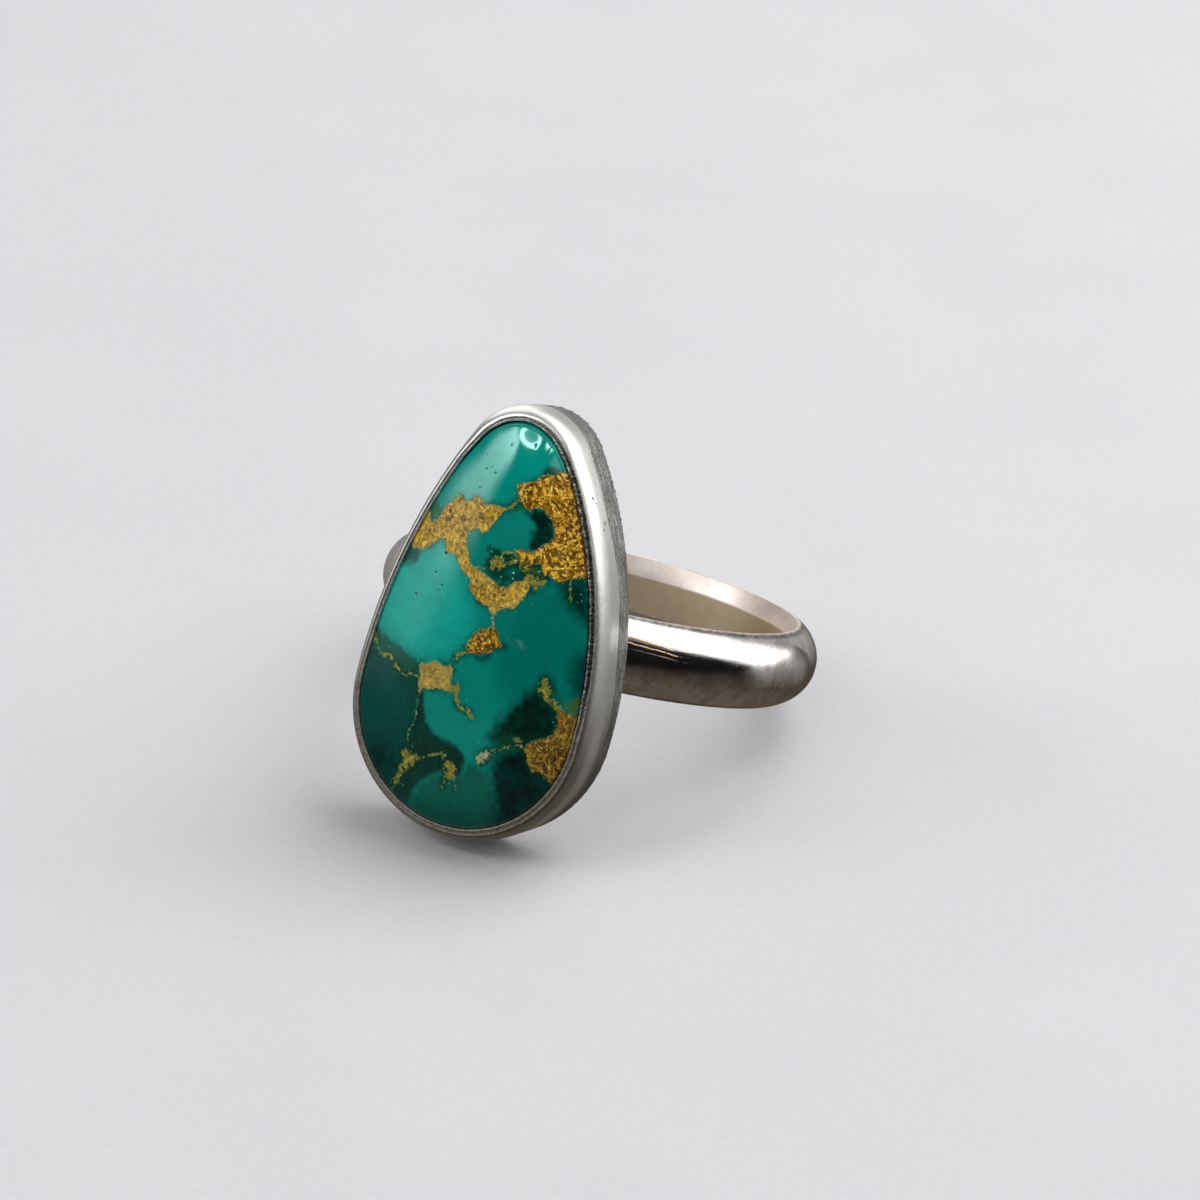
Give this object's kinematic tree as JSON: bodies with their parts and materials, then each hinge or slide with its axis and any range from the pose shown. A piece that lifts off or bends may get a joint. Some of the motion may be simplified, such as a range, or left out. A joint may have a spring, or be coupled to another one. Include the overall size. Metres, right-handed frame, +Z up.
{
  "type": "turquoise ring",
  "caption": "Finger ring with an egg-shaped turquoise cabochon in a plain bezel on a half-round band, lying on its side.",
  "frame": {"origin": "on the table, below the middle of the ring's box as it lies", "axes": "+Z up, the stone faces -Y and tips up by about 21 degrees, +X to the right as the stone is looked at"},
  "size_m": [0.0212, 0.0262, 0.0197],
  "materials": {
    "silver": "polished sterling silver with fine scratches, sanded at the back edge of the setting",
    "turquoise": "glossy polished green-blue turquoise with gold-brown matrix"
  },
  "bodies": {
    "root": {"silver_mount": "silver", "stone": "turquoise"}
  },
  "joints": []
}
